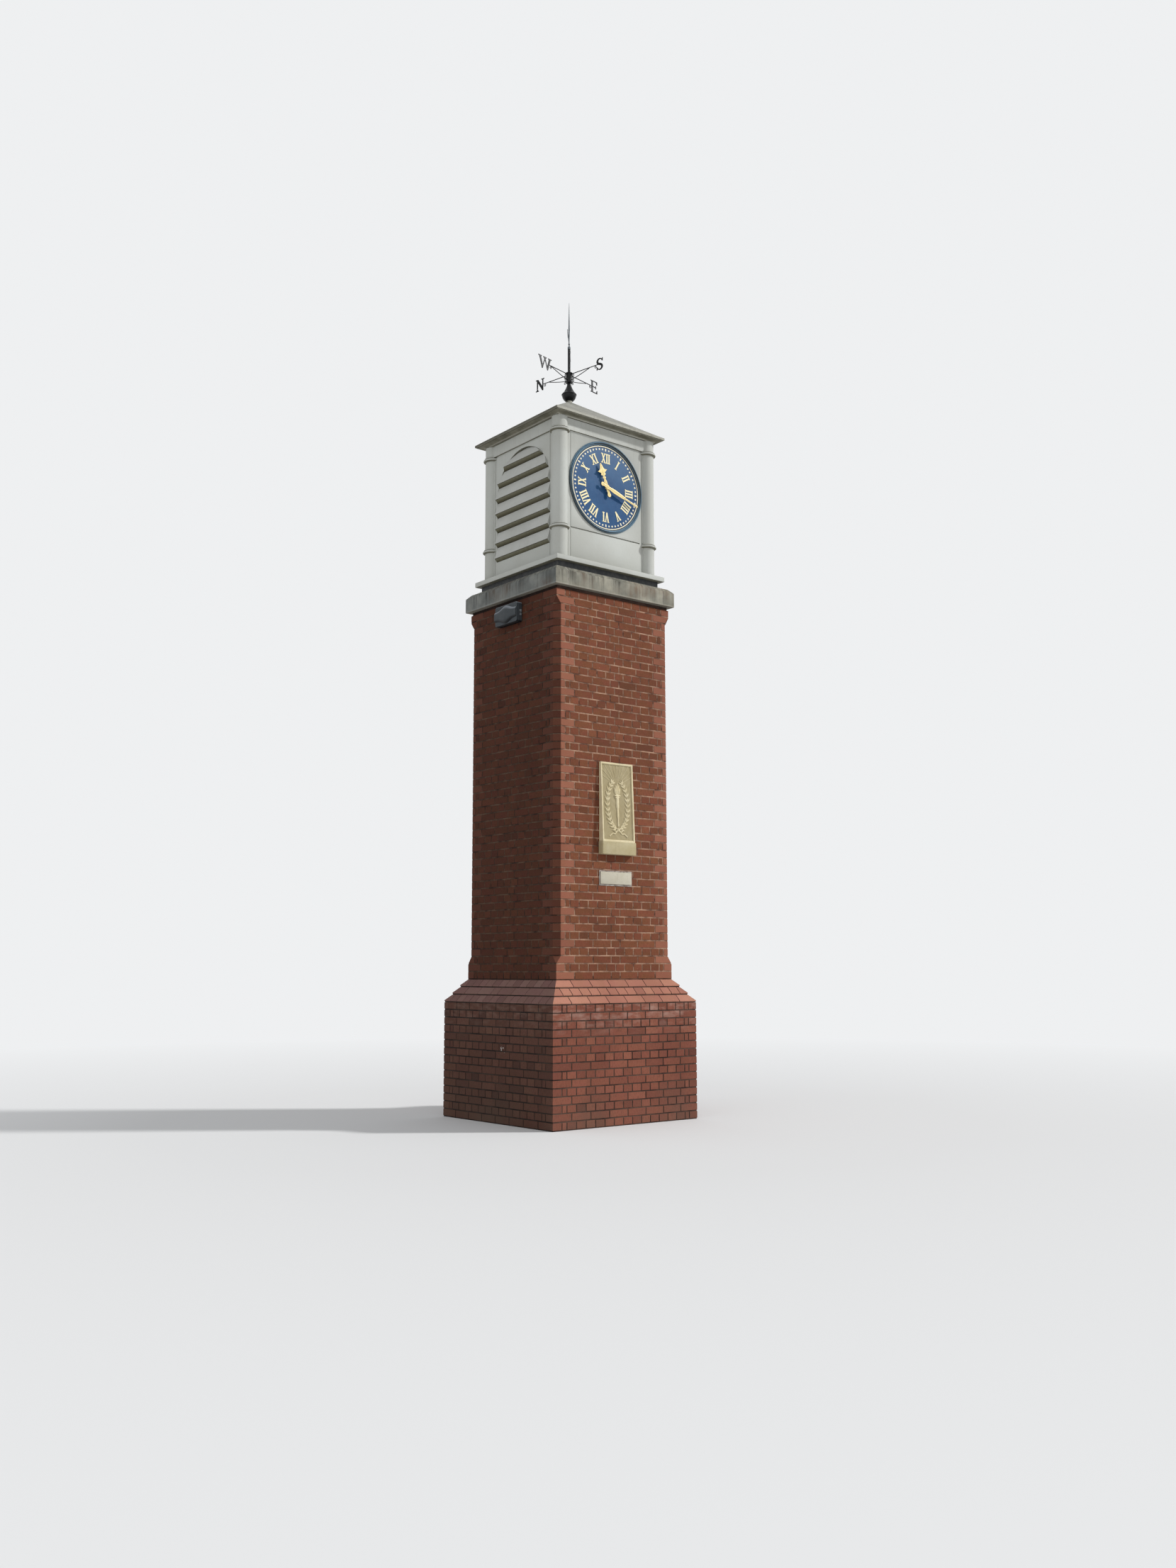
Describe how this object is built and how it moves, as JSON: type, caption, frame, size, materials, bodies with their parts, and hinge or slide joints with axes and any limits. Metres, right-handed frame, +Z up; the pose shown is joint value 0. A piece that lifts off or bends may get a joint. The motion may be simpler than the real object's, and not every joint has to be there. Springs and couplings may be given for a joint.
{
  "type": "clock tower",
  "caption": "Small free-standing brick clock tower: stepped plinth, square shaft, stone coping, white turret with clocks and louvres, pyramid roof and weather vane.",
  "frame": {"origin": "middle of the plinth's underside, at ground level", "axes": "+Z up; the first clock faces -Y, the second +Y, the louvres face -X and +X"},
  "size_m": [1.79, 1.79, 8.4933],
  "materials": {
    "plinth_brick": "dark red engineering brick, recessed dark joints, weathered",
    "slope_brick": "smooth orange-pink plinth brick, weathered",
    "shaft_brick": "red-brown facing brick with light mortar joints",
    "coping_stone": "weathered grey cast stone with dark streaks",
    "kerb_flashing": "dark grey flashing",
    "turret_shell": "off-white glass-fibre moulding, satin, lightly weathered",
    "cornice_shell": "off-white glass-fibre moulding, greyed by weather",
    "roof_shell": "grey weathered glass-fibre roof",
    "dial_blue": "blue enamel dial with gilt numerals and cream minute dots",
    "bezel_paint": "blue-grey painted ring",
    "hand_gold": "gilt hands",
    "black_iron": "black painted ironwork",
    "vane_metal": "grey painted metal, weathered",
    "carved_stone": "sandy cream carved stone",
    "plate_stone": "pale grey stone",
    "light_grey": "grey painted light fitting"
  },
  "bodies": {
    "tower": {"back_bezel": "bezel_paint", "back_dial": "dial_blue", "back_panel": "turret_shell", "brick_shaft": "shaft_brick", "compass_arm_east": "black_iron", "compass_arm_north": "black_iron", "compass_arm_south": "black_iron", "compass_arm_west": "black_iron", "compass_hub": "black_iron", "coping_back": "coping_stone", "coping_front": "coping_stone", "coping_left": "coping_stone", "coping_right": "coping_stone", "corner_column_back_left": "turret_shell", "corner_column_back_right": "turret_shell", "corner_column_front_left": "turret_shell", "corner_column_front_right": "turret_shell", "cornice": "cornice_shell", "finial_urn": "black_iron", "front_bezel": "bezel_paint", "front_dial": "dial_blue", "front_panel": "turret_shell", "left_louvre": "turret_shell", "left_panel": "turret_shell", "name_plate": "plate_stone", "plinth": "plinth_brick", "plinth_slope": "slope_brick", "relief_block": "carved_stone", "relief_panel": "carved_stone", "right_louvre": "turret_shell", "right_panel": "turret_shell", "roof_collar": "roof_shell", "turret_base": "turret_shell", "turret_kerb": "kerb_flashing", "turret_roof": "roof_shell", "vane_mast": "black_iron", "wall_light_body": "light_grey", "wall_light_cover": "light_grey"},
    "front_hour_hand": {"front_hour_hand": "hand_gold"},
    "front_minute_hand": {"front_minute_hand": "hand_gold"},
    "back_hour_hand": {"back_hour_hand": "hand_gold"},
    "back_minute_hand": {"back_minute_hand": "hand_gold"},
    "vane": {"vane_spear": "vane_metal", "vane_arrow": "vane_metal", "vane_tail": "vane_metal"}
  },
  "joints": [
    {"name": "front_minute_turn", "type": "hinge", "parent": "tower", "child": "front_minute_hand", "pos_m": [0, -0.635, 6.287], "axis": [0, 1, 0], "continuous": true},
    {"name": "front_hour_turn", "type": "hinge", "parent": "tower", "child": "front_hour_hand", "pos_m": [0, -0.624, 6.287], "axis": [0, 1, 0], "continuous": true},
    {"name": "back_minute_turn", "type": "hinge", "parent": "tower", "child": "back_minute_hand", "pos_m": [0, 0.635, 6.287], "axis": [0, -1, 0], "continuous": true},
    {"name": "back_hour_turn", "type": "hinge", "parent": "tower", "child": "back_hour_hand", "pos_m": [0, 0.624, 6.287], "axis": [0, -1, 0], "continuous": true},
    {"name": "vane_turn", "type": "hinge", "parent": "tower", "child": "vane", "pos_m": [0, 0, 7.98], "axis": [0, 0, 1], "continuous": true}
  ],
  "couplings": [
    {"joint": "front_hour_turn", "follows": "front_minute_turn", "ratio": 0.083333},
    {"joint": "back_hour_turn", "follows": "back_minute_turn", "ratio": 0.083333}
  ]
}
